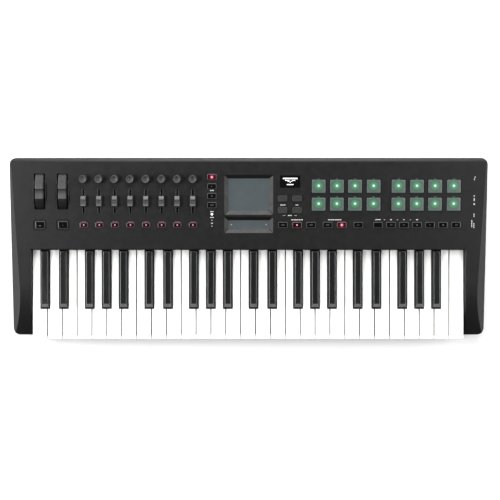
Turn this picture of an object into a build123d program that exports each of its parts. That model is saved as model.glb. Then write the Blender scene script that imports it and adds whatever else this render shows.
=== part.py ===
"""A 49-note MIDI controller keyboard with pads, faders, knobs, wheels and a touch pad.

Millimetres. The origin is the centre of the footprint on the table, +X runs to the player's
right, +Y away from the player and +Z up.
"""
from build123d import *
import os
from math import cos, radians, sin, tan

# ---------------------------------------------------------------- case
CASE_W = 748.0
CASE_FRONT = -136.4  # front face of the two cheeks
CASE_REAR = 142.5
CASE_TOP = 100.0  # above everything, for cuts and trims
WALL = 2.5
UNDERSIDE_Z = 3.5  # underside of the bottom case, held up by its feet
FLOOR_Z = UNDERSIDE_Z + WALL
PARTING_Z = 22.0  # joint between top and bottom case
FRONT_CORNER_R = 11.0
REAR_CORNER_R = 12.0
REAR_EDGE_R = 7.0

# The control panel rises to the rear; the cheeks carry its slope on, then droop to the front.
PANEL_TILT = 5.9
PANEL_FRONT_Y = -1.9
PANEL_FRONT_Z = 69.8
CHEEK_BEND_Y = -58.0
CHEEK_FRONT_Z = 38.0

# A facet cuts each long side: its outer edge climbs to the rear, its face leans inwards.
FACET_FRONT_Z = 35.3
FACET_CLIMB = 0.168
FACET_LEAN = 1.15

# ---------------------------------------------------------------- keys
OCTAVES = 4
WHITE_PITCH = 23.5
OCTAVE_W = 7 * WHITE_PITCH
KEYS_W = (7 * OCTAVES + 1) * WHITE_PITCH
KEYS_LEFT = -341.65
KEYS_RIGHT = KEYS_LEFT + KEYS_W
KEY_GAP = 1.3
KEY_FRONT = -142.5
KEY_REAR = -0.6  # runs in under the panel's lip
KEY_TOP_Z = 55.0
KEY_BOTTOM_Z = 38.0
KEY_WALL = 1.8
BLACK_FRONT = -94.0
BLACK_REAR = -2.9
BLACK_W = 12.8
BLACK_TOP_W = 9.6
BLACK_TOP_Z = 65.5
BLACK_STRAIGHT_Z = 56.0  # sides are upright below this height
BLACK_FRONT_RAKE = 7.5
BLACK_REAR_RAKE = 1.2
BLACK_SLOT_W = BLACK_W + 2 * 1.2
SLOT_FRONT = BLACK_FRONT - 1.2
WHITE_INDEX = {"c": 0, "d": 1, "e": 2, "f": 3, "g": 4, "a": 5, "b": 6}
BLACK_CENTRE = {"c": 20.3, "d": 49.8, "f": 90.6, "g": 117.4, "a": 144.2}  # from the octave's left edge

PIVOT_Y = 26.0
PIVOT_Z = 45.5
PIVOT_ROD_R = 2.0
PIVOT_BORE_R = 2.06
TAIL_W = 9.0
TAIL_FRONT = -24.0
TAIL_REAR = 31.0
TAIL_TOP_Z = 51.0
TAIL_BOTTOM_Z = 34.0

# ---------------------------------------------------------------- key frame
FRAME_Z = 12.0
FRAME_T = 2.0
FRAME_TOP_Z = FRAME_Z + FRAME_T
FRAME_FRONT = -129.0
FRAME_REAR = 38.0
FRONT_STOP_Y = -113.0
FRONT_STOP_Z = 26.0
MIDDLE_STOP_Y = -85.0
MIDDLE_STOP_Z = 27.4
STOP_W = 10.0
FELT_T = 3.0
UP_STOP_Y = 11.0
UP_STOP_W = 6.0
CONTACT_BOARD_Z = 24.0
PCB_T = 1.6

# ---------------------------------------------------------------- panel controls: X, Y on the panel
PANEL_GAP = 0.35  # clearance round a button in its hole
PAD_GAP = 0.6
WHEEL_X = (-327.1, -291.2)
WHEEL_SLOT_Y = 89.7
WHEEL_SLOT = (17.0, 56.0)
WHEEL_R = 36.0
WHEEL_W = 13.0
WHEEL_DEPTH = 26.0  # centre below the panel
WHEEL_AXLE_R = 2.5
WHEEL_BORE_R = 2.55
CHANNELS = 8
CHANNEL_X = -258.6
CHANNEL_PITCH = 24.45
KNOB_Y = 109.2
KNOB_R = 6.7
KNOB_H = 12.5
SHAFT_R = 3.0
SHAFT_BORE_R = 3.06
FADER_Y = 74.4
FADER_SLOT = 37.5
FADER_SLOT_W = 2.4
FADER_CAP = (9.0, 18.0, 9.0)
TOUCH_PAD_Y = 84.5
TOUCH_PAD = (63.5, 50.6)
TOUCH_PAD_MOUTH = (76.5, 62.6)
TOUCH_STRIP_Y = 37.6
TOUCH_STRIP = (63.5, 13.7)
TOUCH_STRIP_MOUTH = (76.5, 25.7)
TOUCH_DEPTH = 4.0
TOUCH_T = 1.5
DISPLAY_AT = (64.7, 105.0)
DISPLAY = (32.2, 19.5)
PAD = (21.2, 20.6)
PAD_ROWS_Y = (97.6, 69.7)
PAD_BANKS = {
    "pads_bank_1": (109.5, 138.0, 166.3, 195.4),
    "pads_bank_2": (234.3, 263.0, 291.5, 320.8),
}
PAD_PROUD = 1.6
BUTTON_PROUD = 1.2
WEB_TOP = -2.8  # moulded web that joins the buttons of a cluster, measured from the panel's face
WEB_T = 1.5
BOARD_TOP = -11.0
SWITCH_TOP = -5.8
ROW_Y = 37.4
OCTAVE_RECESS = (21.2, 17.2)
OCTAVE_RECESS_DEPTH = 1.0
channel_xs = [CHANNEL_X + CHANNEL_PITCH * i for i in range(CHANNELS)]
BUTTONS = {
    "octave_buttons": ((15.4, 12.0), [(x, ROW_Y) for x in WHEEL_X]),
    "channel_buttons": ((12.5, 8.2), [(x, ROW_Y) for x in channel_xs]),
    "mode_buttons": ((14.5, 9.6), [(-57.6, y) for y in (68.4, 82.7, 97.6, 112.1)]),
    "page_buttons": ((15.0, 9.6), [(x, y) for x in (53.0, 75.7) for y in (60.2, 78.5)]),
    "function_buttons": ((15.0, 9.6), [(x, ROW_Y) for x in (53.6, 75.7, 97.8, 123.6, 145.9, 171.9)]),
    "transport_buttons": ((15.0, 9.6), [(202.6 + 20.43 * i, ROW_Y) for i in range(7)]),
}

# ---------------------------------------------------------------- sockets in the right-hand side
SOCKET_BOARD_Z = 33.0
SOCKET_FACE = CASE_W / 2
USB_Y = 109.0
USB = (12.0, 11.0)
DC_Y = 77.0
DC = (10.0, 11.0)
DC_BORE_R = 2.8
DC_BORE_L = 9.0
JACK_Y = (51.0, 31.0)
JACK = 16.0
JACK_BORE_R = 3.2
JACK_BORE_L = 22.0
JACK_COLLAR_R = 5.6

# ---------------------------------------------------------------- fixings and feet
REAR_BOSS_Y = 131.0
BOSSES = [(x, REAR_BOSS_Y) for x in (-355, -178, 0, 178, 355)]
BOSSES += [(x, y) for x in (-358, 357) for y in (-118, -30)]
BOSS_R = 4.5
SCREW_R = 1.5
SCREW_HEAD_R = 3.2
SCREW_HEAD_T = 1.2
FEET = [(x, y) for x in (-325, 0, 325) for y in (-112, 118)]
FOOT_R = 10.0
STANDOFFS = [(x, 118.0) for x in (-270.5, -70, 88, 215, 337.5)]
STANDOFFS += [(x, 27.5) for x in (-270.5, -72, 88, 187, 337.5)]

PANEL = Plane(
    origin=(0, PANEL_FRONT_Y, PANEL_FRONT_Z),
    x_dir=(1, 0, 0),
    z_dir=(0, -sin(radians(PANEL_TILT)), cos(radians(PANEL_TILT))),
)

os.makedirs("parts", exist_ok=True)


def save(builder, name):
    """Label a finished piece and write its STEP file."""
    builder.part.label = name
    export_step(builder.part, f"parts/{name}.step")


def on_panel(x, y):
    """Place above (x, y) in plan, in the panel plane's own coordinates."""
    return (x, (y - PANEL_FRONT_Y) / cos(radians(PANEL_TILT)))


def panel_z(y):
    """Height of the panel's face above plan position y."""
    return PANEL_FRONT_Z + (y - PANEL_FRONT_Y) * tan(radians(PANEL_TILT))


def facet_plane(side, inset):
    """Plane of the long facet on one side (-1 left, 1 right), moved inwards by inset."""
    outward = Vector(side * FACET_LEAN, -FACET_CLIMB, 1).normalized()
    foot = Vector(side * CASE_W / 2, CASE_FRONT, FACET_FRONT_Z)
    return Plane(origin=foot - outward * inset, z_dir=outward)


def case_body(inset, bottom):
    """The case's wedge as one solid, its skin moved in by inset and its base at z = bottom."""
    low = bottom - inset
    bend = (CHEEK_BEND_Y, panel_z(CHEEK_BEND_Y))
    front = (CASE_FRONT, CHEEK_FRONT_Z)
    downhill = (-cos(radians(PANEL_TILT)), -sin(radians(PANEL_TILT)))
    with BuildPart() as body:
        with BuildSketch(Plane.YZ):
            with BuildLine():
                Polyline(bend, (CASE_REAR, panel_z(CASE_REAR)), (CASE_REAR, low), (CASE_FRONT, low), front)
                TangentArc(bend, front, tangent=downhill)
            make_face()
            fillet(vertices().group_by(Axis.X)[-1].sort_by(Axis.Y)[-1], REAR_EDGE_R)
            if inset:
                offset(amount=-inset, kind=Kind.INTERSECTION, mode=Mode.REPLACE)
        extrude(amount=CASE_W / 2 - inset, both=True)
        with BuildSketch(Plane.XY.offset(bottom)):
            with Locations((0, (CASE_FRONT + CASE_REAR) / 2)):
                Rectangle(CASE_W - 2 * inset, CASE_REAR - CASE_FRONT - 2 * inset)
            fillet(vertices().group_by(Axis.Y)[0], FRONT_CORNER_R - inset)
            fillet(vertices().group_by(Axis.Y)[-1], REAR_CORNER_R - inset)
        extrude(amount=CASE_TOP, mode=Mode.INTERSECT)
        split(bisect_by=facet_plane(-1, inset), keep=Keep.BOTTOM)
        split(bisect_by=facet_plane(1, inset), keep=Keep.BOTTOM)
    return body.part


# ================================================================ top case
KEY_WINDOW_MARGIN = 0.65
KEY_WINDOW_EDGE_R = 2.2
WINDOW_LEFT = KEYS_LEFT - KEY_WINDOW_MARGIN
WINDOW_RIGHT = KEYS_RIGHT + KEY_WINDOW_MARGIN
WINDOW_MID = (WINDOW_LEFT + WINDOW_RIGHT) / 2
WINDOW_W = WINDOW_RIGHT - WINDOW_LEFT
LIP_BOTTOM_Z = 57.0
UP_STOP_Z = TAIL_TOP_Z + 0.3  # underside of the felt that the key tails rise against


def borders_key_window(edge):
    """True for the top edges of the cheeks and of the panel's lip that look onto the keys."""
    mid = edge.center()
    on_cheek = min(abs(mid.X - WINDOW_LEFT), abs(mid.X - WINDOW_RIGHT)) < 0.01
    on_lip = abs(mid.Y - PANEL_FRONT_Y) < 0.01 and abs(mid.Z - PANEL_FRONT_Z) < 0.01
    return edge.length > 30 and (on_lip or (on_cheek and mid.Z > CHEEK_FRONT_Z + 2))


# The hollow is the inner body less everything that stays solid inside it.
with BuildPart() as hollow:
    add(case_body(WALL, PARTING_Z - 1))
    with BuildSketch(Plane.XY.offset(PARTING_Z - 1)):
        for wall_x in (WINDOW_LEFT - WALL / 2, WINDOW_RIGHT + WALL / 2):
            with Locations((wall_x, (CASE_FRONT + PANEL_FRONT_Y + WALL) / 2)):
                Rectangle(WALL, PANEL_FRONT_Y + WALL - CASE_FRONT)
        with Locations(*BOSSES):
            Circle(BOSS_R)
    extrude(amount=CASE_TOP, mode=Mode.SUBTRACT)
    with BuildSketch(Plane.XY.offset(LIP_BOTTOM_Z)):
        with Locations((WINDOW_MID, PANEL_FRONT_Y + WALL / 2)):
            Rectangle(WINDOW_W, WALL)
    extrude(amount=CASE_TOP, mode=Mode.SUBTRACT)
    with BuildSketch(Plane.XY.offset(UP_STOP_Z + FELT_T)):
        with Locations((WINDOW_MID, UP_STOP_Y)):
            Rectangle(WINDOW_W, UP_STOP_W)
    extrude(amount=CASE_TOP, mode=Mode.SUBTRACT)

with BuildPart() as top_case:
    add(case_body(0, PARTING_Z))
    add(hollow.part, mode=Mode.SUBTRACT)
    with BuildSketch(Plane.XY):
        with Locations((WINDOW_MID, PANEL_FRONT_Y - CASE_W / 2)):
            Rectangle(WINDOW_W, CASE_W)
    extrude(amount=CASE_TOP, mode=Mode.SUBTRACT)
    fillet(edges().filter_by(borders_key_window), KEY_WINDOW_EDGE_R)
    with BuildSketch(Plane.XY.offset(FLOOR_Z)):
        with Locations(*BOSSES):
            Circle(BOSS_R)
    extrude(amount=PARTING_Z - FLOOR_Z + 1)
    with BuildSketch(Plane.XY.offset(FLOOR_Z)):
        with Locations(*BOSSES):
            Circle(SCREW_R)
    extrude(amount=14, mode=Mode.SUBTRACT)
    # Thicker floor round the touch recesses, and standoffs for the panel board.
    with BuildSketch(PANEL.offset(-TOUCH_DEPTH)):
        with Locations(on_panel(0, 70.4)):
            Rectangle(84, 97)
    extrude(amount=TOUCH_DEPTH - WALL + 0.5)
    with BuildSketch(PANEL.offset(BOARD_TOP)):
        with Locations(*[on_panel(x, y) for x, y in STANDOFFS]):
            Circle(2.5)
    extrude(amount=-BOARD_TOP - WALL + 0.5)
    # Sloping mouths of the touch pad and the touch strip.
    for mouth, floor, y in (
        (TOUCH_PAD_MOUTH, TOUCH_PAD, TOUCH_PAD_Y),
        (TOUCH_STRIP_MOUTH, TOUCH_STRIP, TOUCH_STRIP_Y),
    ):
        with BuildSketch(PANEL):
            with Locations(on_panel(0, y)):
                RectangleRounded(*mouth, 1.5)
        with BuildSketch(PANEL.offset(-TOUCH_DEPTH)):
            with Locations(on_panel(0, y)):
                RectangleRounded(*floor, 1.0)
        loft(mode=Mode.SUBTRACT)
    with BuildSketch(PANEL.offset(-OCTAVE_RECESS_DEPTH)):
        with Locations(*[on_panel(x, ROW_Y) for x in WHEEL_X]):
            RectangleRounded(*OCTAVE_RECESS, 3.5)
    extrude(amount=5, mode=Mode.SUBTRACT)
    # Everything that goes straight through the panel.
    with BuildSketch(PANEL.offset(-TOUCH_DEPTH)):
        with Locations(*[on_panel(x, WHEEL_SLOT_Y) for x in WHEEL_X]):
            RectangleRounded(*WHEEL_SLOT, 2.0)
        with Locations(*[on_panel(x, KNOB_Y) for x in channel_xs]):
            Circle(SHAFT_R + 0.9)
        with Locations(*[on_panel(x, FADER_Y) for x in channel_xs]):
            SlotOverall(FADER_SLOT, FADER_SLOT_W, rotation=90)
        for (cap_w, cap_l), places in BUTTONS.values():
            with Locations(*[on_panel(x, y) for x, y in places]):
                RectangleRounded(cap_w + 2 * PANEL_GAP, cap_l + 2 * PANEL_GAP, 1.6)
        for xs in PAD_BANKS.values():
            with Locations(*[on_panel(x, y) for x in xs for y in PAD_ROWS_Y]):
                RectangleRounded(PAD[0] + 2 * PAD_GAP, PAD[1] + 2 * PAD_GAP, 1.4)
        with Locations(on_panel(*DISPLAY_AT)):
            RectangleRounded(*DISPLAY, 1.0)
    extrude(amount=TOUCH_DEPTH + 4, mode=Mode.SUBTRACT)
    # Holes for the sockets, through the right-hand wall.
    with BuildSketch(Plane.YZ.offset(SOCKET_FACE - WALL - 1)):
        with Locations((USB_Y, SOCKET_BOARD_Z + PCB_T + USB[1] / 2)):
            Rectangle(USB[0] + 0.4, USB[1] + 0.4)
        with Locations((DC_Y, SOCKET_BOARD_Z + PCB_T + DC[1] / 2)):
            Rectangle(DC[0] + 0.4, DC[1] + 0.4)
        with Locations(*[(y, SOCKET_BOARD_Z + PCB_T + JACK / 2) for y in JACK_Y]):
            Circle(JACK_COLLAR_R + 0.2)
    extrude(amount=WALL + 3, mode=Mode.SUBTRACT)
save(top_case, "top_case")

# ================================================================ bottom case
BOTTOM_INSET = 0.6
RAIL_TOP_Z = 27.0
FRAME_POSTS = [(x, y) for x in (-325, -165, 0, 165, 322) for y in (-122, -60, 34)]
BOARD_POSTS = [(x, y) for x in (258, 340) for y in (48, 118)]

with BuildPart() as bottom_case:
    with BuildSketch(Plane.XY.offset(UNDERSIDE_Z)):
        with Locations((0, (CASE_FRONT + CASE_REAR) / 2)):
            Rectangle(CASE_W - 2 * BOTTOM_INSET, CASE_REAR - CASE_FRONT - 2 * BOTTOM_INSET)
        fillet(vertices().group_by(Axis.Y)[0], FRONT_CORNER_R - BOTTOM_INSET)
        fillet(vertices().group_by(Axis.Y)[-1], REAR_CORNER_R - BOTTOM_INSET)
    extrude(amount=PARTING_Z - UNDERSIDE_Z)
    chamfer(edges().group_by(Axis.Z)[0], 2.0)
    offset(amount=-WALL, openings=faces().sort_by(Axis.Z)[-1])
    with BuildSketch(Plane.XY.offset(FLOOR_Z)):
        with Locations((WINDOW_MID, CASE_FRONT + BOTTOM_INSET + WALL / 2)):
            Rectangle(WINDOW_W - 1, WALL)
    extrude(amount=RAIL_TOP_Z - FLOOR_Z)
    with BuildSketch(Plane.XY.offset(FLOOR_Z - 1)):
        with Locations(*FRAME_POSTS):
            Rectangle(10, 7)
    extrude(amount=FRAME_Z - FLOOR_Z + 1)
    with BuildSketch(Plane.XY.offset(FLOOR_Z - 1)):
        with Locations(*BOARD_POSTS):
            Circle(3.5)
    extrude(amount=SOCKET_BOARD_Z - FLOOR_Z + 1)
    # Counterbored holes for the case screws.
    for hole_r, depth in ((SCREW_HEAD_R + 0.3, SCREW_HEAD_T), (SCREW_R + 0.3, 2 * WALL)):
        with BuildSketch(Plane.XY.offset(UNDERSIDE_Z)):
            with Locations(*BOSSES):
                Circle(hole_r)
        extrude(amount=depth, mode=Mode.SUBTRACT)
save(bottom_case, "bottom_case")

with BuildPart() as case_screws:
    with BuildSketch(Plane.XY.offset(UNDERSIDE_Z)):
        with Locations(*BOSSES):
            Circle(SCREW_HEAD_R)
            RegularPolygon(1.4, 6, mode=Mode.SUBTRACT)
    extrude(amount=SCREW_HEAD_T)
    with BuildSketch(Plane.XY.offset(UNDERSIDE_Z + SCREW_HEAD_T - 0.3)):
        with Locations(*BOSSES):
            Circle(SCREW_R)
    extrude(amount=14)
save(case_screws, "case_screws")

with BuildPart() as rubber_feet:
    with BuildSketch(Plane.XY):
        with Locations(*FEET):
            Circle(FOOT_R)
    extrude(amount=UNDERSIDE_Z)
    chamfer(edges().group_by(Axis.Z)[0], 0.8)
save(rubber_feet, "rubber_feet")


# ================================================================ keys
def tail(centre_x, root_z):
    """Rear arm of a key: joins the cap from inside at root_z and turns on the pivot rod."""
    with BuildPart() as arm:
        with BuildSketch(Plane.YZ.offset(centre_x - TAIL_W / 2)):
            with BuildLine():
                Polyline(
                    (TAIL_FRONT, TAIL_BOTTOM_Z),
                    (TAIL_REAR, TAIL_BOTTOM_Z),
                    (TAIL_REAR, TAIL_TOP_Z),
                    (BLACK_REAR - 1, TAIL_TOP_Z),
                    (BLACK_REAR - 1, root_z),
                    (TAIL_FRONT, root_z),
                    close=True,
                )
            make_face()
            with Locations((PIVOT_Y, PIVOT_Z)):
                Circle(PIVOT_BORE_R, mode=Mode.SUBTRACT)
        extrude(amount=TAIL_W)
    return arm.part


def neck(index):
    """Edges of white key number index between its black neighbours' slots, from the octave's left."""
    left = index * WHITE_PITCH + KEY_GAP / 2
    right = left + WHITE_PITCH - KEY_GAP
    for centre in BLACK_CENTRE.values():
        if abs(centre - index * WHITE_PITCH) < WHITE_PITCH / 2:
            left = centre + BLACK_SLOT_W / 2
        if abs(centre - (index + 1) * WHITE_PITCH) < WHITE_PITCH / 2:
            right = centre - BLACK_SLOT_W / 2
    return left, right


def white_key(index, neck_left, neck_right, tail_x):
    """White key number index, its neck and tail placed by x from the keyboard's left edge."""
    left = KEYS_LEFT + index * WHITE_PITCH + KEY_GAP / 2
    right = left + WHITE_PITCH - KEY_GAP
    neck_mid = KEYS_LEFT + (neck_left + neck_right) / 2
    neck_w = neck_right - neck_left
    arm = tail(KEYS_LEFT + tail_x, KEY_TOP_Z - 2)
    with BuildPart() as key:
        for shrink, bottom, top, mode in (
            (0, KEY_BOTTOM_Z, KEY_TOP_Z, Mode.ADD),
            (KEY_WALL, KEY_BOTTOM_Z, KEY_TOP_Z - 2.2, Mode.SUBTRACT),
        ):
            with BuildSketch(Plane.XY.offset(bottom)):
                with Locations(((left + right) / 2, (KEY_FRONT + SLOT_FRONT) / 2)):
                    Rectangle(right - left - 2 * shrink, SLOT_FRONT - KEY_FRONT - 2 * shrink)
                with Locations((neck_mid, (KEY_FRONT + KEY_REAR) / 2)):
                    Rectangle(neck_w - 2 * shrink, KEY_REAR - KEY_FRONT - 2 * shrink)
            extrude(amount=top - bottom, mode=mode)
            if mode == Mode.ADD:
                fillet(edges().group_by(Axis.Z)[-1].sort_by(Axis.Y)[0], 1.6)
                fillet(faces().sort_by(Axis.Z)[-1].edges().filter_by(Axis.Y), 0.5)
        add(arm)
    return key.part


def black_key(centre):
    """Black key with its middle at centre, measured from the octave's left edge."""
    middle = KEYS_LEFT + centre
    top_front = BLACK_FRONT + BLACK_FRONT_RAKE
    top_rear = BLACK_REAR - BLACK_REAR_RAKE
    arm = tail(middle, BLACK_STRAIGHT_Z + 3)
    with BuildPart() as key:
        with BuildSketch(Plane.XY.offset(KEY_BOTTOM_Z)):
            with Locations((middle, (BLACK_FRONT + BLACK_REAR) / 2)):
                Rectangle(BLACK_W, BLACK_REAR - BLACK_FRONT)
        extrude(amount=BLACK_STRAIGHT_Z - KEY_BOTTOM_Z)
        with BuildSketch(Plane.XY.offset(BLACK_STRAIGHT_Z)):
            with Locations((middle, (BLACK_FRONT + BLACK_REAR) / 2)):
                Rectangle(BLACK_W, BLACK_REAR - BLACK_FRONT)
        with BuildSketch(Plane.XY.offset(BLACK_TOP_Z)):
            with Locations((middle, (top_front + top_rear) / 2)):
                Rectangle(BLACK_TOP_W, top_rear - top_front)
        loft(ruled=True)
        fillet(edges().group_by(Axis.Z)[-1], 0.9)
        with BuildSketch(Plane.XY.offset(KEY_BOTTOM_Z)):
            with Locations((middle, (BLACK_FRONT + BLACK_REAR) / 2)):
                Rectangle(BLACK_W - 2 * KEY_WALL, BLACK_REAR - BLACK_FRONT - 2 * KEY_WALL)
        extrude(amount=BLACK_STRAIGHT_Z + 2 - KEY_BOTTOM_Z, mode=Mode.SUBTRACT)
        add(arm)
    return key.part


octave_places = [(OCTAVE_W * i, 0, 0) for i in range(OCTAVES)]

# The topmost note is a whole white key, with its tail where every other c has it.
TOP_NOTE = 7 * OCTAVES
top_note_left = TOP_NOTE * WHITE_PITCH
top_note_tail = top_note_left + sum(neck(0)) / 2
top_note_key = white_key(
    TOP_NOTE, top_note_left + KEY_GAP / 2, top_note_left + WHITE_PITCH - KEY_GAP / 2, top_note_tail
)

for note, index in WHITE_INDEX.items():
    one_key = white_key(index, *neck(index), sum(neck(index)) / 2)
    with BuildPart() as white_keys:
        with Locations(*octave_places):
            add(one_key)
        if note == "c":
            add(top_note_key)
    save(white_keys, f"{note}_keys")

for note, centre in BLACK_CENTRE.items():
    one_key = black_key(centre)
    with BuildPart() as black_keys:
        with Locations(*octave_places):
            add(one_key)
    save(black_keys, f"{note}_sharp_keys")

# ================================================================ key frame and what it carries
octave_starts = [KEYS_LEFT + OCTAVE_W * i for i in range(OCTAVES)]
white_tails = [start + sum(neck(index)) / 2 for start in octave_starts for index in WHITE_INDEX.values()]
white_tails.append(KEYS_LEFT + top_note_tail)
black_tails = [start + x for start in octave_starts for x in BLACK_CENTRE.values()]
all_tails = white_tails + black_tails
white_middles = [KEYS_LEFT + WHITE_PITCH * (i + 0.5) for i in range(TOP_NOTE + 1)]
SUPPORT_T = 2.0
support_xs = [start + x for start in octave_starts for x in (0, 3 * WHITE_PITCH)]
support_xs += [KEYS_LEFT + top_note_left, KEYS_RIGHT - 3]

with BuildPart() as key_frame:
    with BuildSketch(Plane.XY.offset(FRAME_Z)):
        with Locations((WINDOW_MID, (FRAME_FRONT + FRAME_REAR) / 2)):
            Rectangle(KEYS_W - 1, FRAME_REAR - FRAME_FRONT)
    extrude(amount=FRAME_T)
    for y, width, top in (
        (FRONT_STOP_Y, STOP_W, FRONT_STOP_Z),
        (MIDDLE_STOP_Y, STOP_W, MIDDLE_STOP_Z),
        (-25.5, 3.0, CONTACT_BOARD_Z),
        (-2.5, 3.0, CONTACT_BOARD_Z),
    ):
        with BuildSketch(Plane.XY.offset(FRAME_TOP_Z)):
            with Locations((WINDOW_MID, y)):
                Rectangle(KEYS_W - 1, width)
        extrude(amount=top - FRAME_TOP_Z)
    # Guide posts that stand inside the hollow keys.
    with BuildSketch(Plane.XY.offset(FRAME_TOP_Z)):
        with Locations(*[(x, -125.5) for x in white_middles]):
            Rectangle(7, 4)
    extrude(amount=28)
    with BuildSketch(Plane.XY.offset(FRAME_TOP_Z)):
        with Locations(*[(x, -77) for x in black_tails]):
            Rectangle(5, 4)
    extrude(amount=34)
    # Upright plates that hold the pivot rod between the key tails.
    for x in support_xs:
        with BuildSketch(Plane.YZ.offset(x - SUPPORT_T / 2)):
            with Locations((PIVOT_Y, (FRAME_TOP_Z + 50) / 2)):
                Rectangle(12, 50 - FRAME_TOP_Z)
            with Locations((PIVOT_Y, PIVOT_Z)):
                Circle(PIVOT_ROD_R, mode=Mode.SUBTRACT)
        extrude(amount=SUPPORT_T)
save(key_frame, "key_frame")

with BuildPart() as key_pivot_rod:
    with BuildSketch(Plane.YZ.offset(KEYS_LEFT - 1)):
        with Locations((PIVOT_Y, PIVOT_Z)):
            Circle(PIVOT_ROD_R)
    extrude(amount=KEYS_W)
save(key_pivot_rod, "key_pivot_rod")

with BuildPart() as key_felts:
    for y, width, bottom in (
        (FRONT_STOP_Y, STOP_W, FRONT_STOP_Z),
        (MIDDLE_STOP_Y, STOP_W, MIDDLE_STOP_Z),
        (UP_STOP_Y, UP_STOP_W, UP_STOP_Z),
    ):
        with BuildSketch(Plane.XY.offset(bottom)):
            with Locations((WINDOW_MID, y)):
                Rectangle(KEYS_W - 3, width)
        extrude(amount=FELT_T)
save(key_felts, "key_felts")

with BuildPart() as key_contact_board:
    with BuildSketch(Plane.XY.offset(CONTACT_BOARD_Z)):
        with Locations((WINDOW_MID, -14)):
            Rectangle(KEYS_W - 3, 26)
    extrude(amount=PCB_T)
save(key_contact_board, "key_contact_board")

CONTACT_STRIP_Z = CONTACT_BOARD_Z + PCB_T
with BuildPart() as key_contact_strip:
    with BuildSketch(Plane.XY.offset(CONTACT_STRIP_Z)):
        with Locations((WINDOW_MID, -17)):
            Rectangle(KEYS_W - 5, 14)
    extrude(amount=1.0)
    with BuildSketch(Plane.XY.offset(CONTACT_STRIP_Z + 1)):
        with Locations(*[(x, -17) for x in all_tails]):
            Circle(3.2)
    extrude(amount=3.8, taper=12)
save(key_contact_strip, "key_contact_strip")

with BuildPart() as key_springs:
    with BuildSketch(Plane.XY.offset(FRAME_TOP_Z)):
        with Locations(*[(x, 29.0) for x in all_tails]):
            Circle(1.8)
    extrude(amount=TAIL_BOTTOM_Z - 0.4 - FRAME_TOP_Z)
save(key_springs, "key_springs")

# ================================================================ wheels
wheel_axis = PANEL.from_local_coords(Vector(0, on_panel(0, WHEEL_SLOT_Y)[1], -WHEEL_DEPTH))
BRACKET_T = 2.0
BRACKET_GAP = 9.0  # from the wheel's middle to each side plate


def wheel(x):
    """Thumb wheel with a finger notch on top and a stub axle on each side."""
    with BuildPart() as body:
        with BuildSketch(Plane.YZ.offset(x - WHEEL_W / 2)):
            with Locations((wheel_axis.Y, wheel_axis.Z)):
                Circle(WHEEL_R)
        extrude(amount=WHEEL_W)
        fillet(edges().filter_by(GeomType.CIRCLE), 1.6)
        with BuildSketch(Plane.YZ.offset(x - WHEEL_W / 2 - 1)):
            with Locations((wheel_axis.Y, wheel_axis.Z + WHEEL_R + 2.6)):
                Circle(5.4)
        extrude(amount=WHEEL_W + 2, mode=Mode.SUBTRACT)
        with BuildSketch(Plane.YZ.offset(x - BRACKET_GAP - BRACKET_T)):
            with Locations((wheel_axis.Y, wheel_axis.Z)):
                Circle(WHEEL_AXLE_R)
        extrude(amount=2 * (BRACKET_GAP + BRACKET_T))
    return body


for name, x in (("pitch_wheel", WHEEL_X[0]), ("mod_wheel", WHEEL_X[1])):
    save(wheel(x), name)

with BuildPart() as wheel_bracket:
    with BuildSketch(Plane.XY.offset(FLOOR_Z)):
        with Locations((sum(WHEEL_X) / 2, wheel_axis.Y)):
            Rectangle(WHEEL_X[1] - WHEEL_X[0] + 30, 34)
    extrude(amount=2.5)
    for x in WHEEL_X:
        for plate_x in (x - BRACKET_GAP - BRACKET_T, x + BRACKET_GAP):
            with BuildSketch(Plane.YZ.offset(plate_x)):
                with Locations((wheel_axis.Y, 38)):
                    Rectangle(24, 60)
                with Locations((wheel_axis.Y, wheel_axis.Z)):
                    Circle(WHEEL_BORE_R, mode=Mode.SUBTRACT)
            extrude(amount=BRACKET_T)
save(wheel_bracket, "wheel_bracket")

# ================================================================ knobs, faders and their electric parts
POT = (11.0, 10.0)
POT_TOP = -4.0
SHAFT_TOP = KNOB_H - 2.5
KNOB_BOTTOM = 1.0

with BuildPart() as rotary_pots:
    with BuildSketch(PANEL.offset(BOARD_TOP)):
        with Locations(*[on_panel(x, KNOB_Y) for x in channel_xs]):
            Rectangle(*POT)
    extrude(amount=POT_TOP - BOARD_TOP)
    with BuildSketch(PANEL.offset(POT_TOP)):
        with Locations(*[on_panel(x, KNOB_Y) for x in channel_xs]):
            Circle(SHAFT_R)
    extrude(amount=SHAFT_TOP - POT_TOP)
    for x in WHEEL_X:
        with BuildSketch(Plane.YZ.offset(x - BRACKET_GAP - BRACKET_T - 5)):
            with Locations((wheel_axis.Y, wheel_axis.Z)):
                Circle(7.5)
        extrude(amount=5)
save(rotary_pots, "rotary_pots")

for i, x in enumerate(channel_xs):
    with BuildPart() as knob:
        with BuildSketch(PANEL.offset(KNOB_BOTTOM)):
            with Locations(on_panel(x, KNOB_Y)):
                Circle(KNOB_R)
        extrude(amount=KNOB_H - KNOB_BOTTOM, taper=3)
        fillet(edges().filter_by(GeomType.CIRCLE).sort_by(Axis.Z)[-1], 1.0)
        with BuildSketch(PANEL.offset(KNOB_BOTTOM)):
            with Locations(on_panel(x, KNOB_Y)):
                Circle(SHAFT_BORE_R)
        extrude(amount=SHAFT_TOP + 0.5 - KNOB_BOTTOM, mode=Mode.SUBTRACT)
    save(knob, f"knob_{i + 1}")

FADER_BODY = (9.0, 54.0)
FADER_BODY_TOP = -3.6
STEM = (1.6, 5.0)
STEM_BOTTOM = -7.0
CAP_BOTTOM = 1.0

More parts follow.
